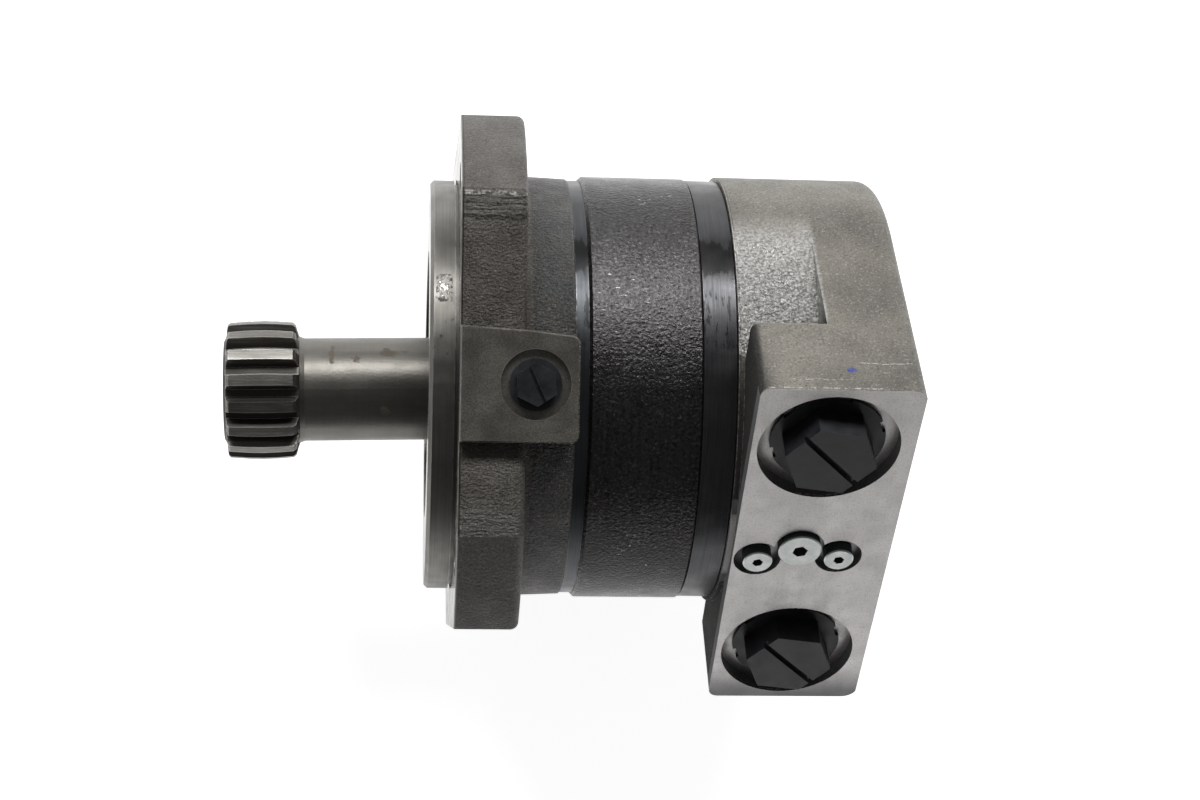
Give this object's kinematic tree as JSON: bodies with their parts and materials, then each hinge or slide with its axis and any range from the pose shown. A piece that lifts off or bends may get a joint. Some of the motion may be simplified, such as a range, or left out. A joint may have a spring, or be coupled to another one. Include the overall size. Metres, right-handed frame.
{
  "type": "hydraulic motor",
  "caption": "Orbital roller motor with a flanged pilot, a crowned splined drive link, stacked ring sections and a rear valve housing with an angled port face.",
  "frame": {"origin": "centre of the bolt circle, in the plane of the mounting face, on the motor axis", "axes": "+X along the motor axis out of the drive end; +Z the way the case-drain boss faces; the port face looks half way between +Y and +Z"},
  "size_m": [0.2405, 0.2113, 0.2113],
  "materials": {
    "flange_cast_iron": "sand-cast skin, oiled, with turned pilot and faces",
    "housing_cast_iron": "light blasted casting with a milled port face",
    "black_plug_plastic": "moulded, slightly satin",
    "ground_steel": "ground and oiled",
    "dark_steel": "dark, rough turned",
    "hardened_steel": "ground and hardened",
    "drive_steel": "hardened, oiled, with light rust bloom",
    "bolt_steel": "black oxide",
    "zinc_plate": "bright zinc plate",
    "seal_rubber": "nitrile rubber"
  },
  "bodies": {
    "casing": {"mounting_flange": "flange_cast_iron", "wear_plate": "ground_steel", "geroler_ring": "dark_steel", "valve_plate": "ground_steel", "valve_housing": "housing_cast_iron", "assembly_bolts": "bolt_steel", "port_plug_a": "black_plug_plastic", "port_plug_b": "black_plug_plastic", "drain_plug": "black_plug_plastic", "gallery_plug": "zinc_plate", "check_plug_front": "zinc_plate", "check_plug_rear": "zinc_plate", "flange_seal": "seal_rubber", "geroler_front_seal": "seal_rubber", "geroler_rear_seal": "seal_rubber", "housing_seal": "seal_rubber", "balance_ring": "hardened_steel", "balance_ring_pins": "bolt_steel", "balance_ring_springs": "bolt_steel", "balance_ring_seal": "seal_rubber", "plug_seals": "seal_rubber"},
    "orbit_pad": {"drive_spacer": "drive_steel"},
    "rotor": {"rotor_star": "hardened_steel"},
    "output_link": {"drive_link": "drive_steel"},
    "timing_link": {"valve_drive": "drive_steel"},
    "timing_disc": {"disc_valve": "hardened_steel"},
    "roller_1": {"roller_1": "hardened_steel"},
    "roller_2": {"roller_2": "hardened_steel"},
    "roller_3": {"roller_3": "hardened_steel"},
    "roller_4": {"roller_4": "hardened_steel"},
    "roller_5": {"roller_5": "hardened_steel"},
    "roller_6": {"roller_6": "hardened_steel"},
    "roller_7": {"roller_7": "hardened_steel"},
    "front_ball": {"check_ball_front": "bolt_steel"},
    "rear_ball": {"check_ball_rear": "bolt_steel"}
  },
  "joints": [
    {"name": "timing_disc_spin", "type": "hinge", "parent": "casing", "child": "timing_disc", "pos_m": [-0.105, 0, 0], "axis": [1, 0, 0], "continuous": true},
    {"name": "rotor_orbit", "type": "hinge", "parent": "casing", "child": "orbit_pad", "pos_m": [-0.0706, 0, 0], "axis": [1, 0, 0], "continuous": true},
    {"name": "rotor_spin", "type": "hinge", "parent": "orbit_pad", "child": "rotor", "pos_m": [-0.0646, 0, -0.004], "axis": [1, 0, 0], "continuous": true},
    {"name": "output_link_spin", "type": "hinge", "parent": "orbit_pad", "child": "output_link", "pos_m": [-0.058, 0, -0.004], "axis": [0.9992, 0.0249, 0.0312], "continuous": true},
    {"name": "timing_link_spin", "type": "hinge", "parent": "orbit_pad", "child": "timing_link", "pos_m": [-0.115, 0, 0], "axis": [0.9943, 0, -0.1063], "continuous": true},
    {"name": "roller_1_spin", "type": "hinge", "parent": "casing", "child": "roller_1", "pos_m": [-0.0646, 0.03465, 0.03465], "axis": [1, 0, 0], "continuous": true},
    {"name": "roller_2_spin", "type": "hinge", "parent": "casing", "child": "roller_2", "pos_m": [-0.0646, -0.00549, 0.04869], "axis": [1, 0, 0], "continuous": true},
    {"name": "roller_3_spin", "type": "hinge", "parent": "casing", "child": "roller_3", "pos_m": [-0.0646, -0.04149, 0.02607], "axis": [1, 0, 0], "continuous": true},
    {"name": "roller_4_spin", "type": "hinge", "parent": "casing", "child": "roller_4", "pos_m": [-0.0646, -0.04625, -0.01618], "axis": [1, 0, 0], "continuous": true},
    {"name": "roller_5_spin", "type": "hinge", "parent": "casing", "child": "roller_5", "pos_m": [-0.0646, -0.01618, -0.04625], "axis": [1, 0, 0], "continuous": true},
    {"name": "roller_6_spin", "type": "hinge", "parent": "casing", "child": "roller_6", "pos_m": [-0.0646, 0.02607, -0.04149], "axis": [1, 0, 0], "continuous": true},
    {"name": "roller_7_spin", "type": "hinge", "parent": "casing", "child": "roller_7", "pos_m": [-0.0646, 0.04869, -0.00549], "axis": [1, 0, 0], "continuous": true},
    {"name": "front_check_lift", "type": "slide", "parent": "casing", "child": "front_ball", "axis": [0, 0.7071, 0.7071], "range_m": [0, 0.002]},
    {"name": "rear_check_lift", "type": "slide", "parent": "casing", "child": "rear_ball", "axis": [0, 0.7071, 0.7071], "range_m": [0, 0.002]}
  ],
  "couplings": [
    {"joint": "rotor_orbit", "follows": "timing_disc_spin", "ratio": -6},
    {"joint": "rotor_spin", "follows": "timing_disc_spin", "ratio": 7},
    {"joint": "output_link_spin", "follows": "timing_disc_spin", "ratio": 7},
    {"joint": "timing_link_spin", "follows": "timing_disc_spin", "ratio": 7}
  ]
}
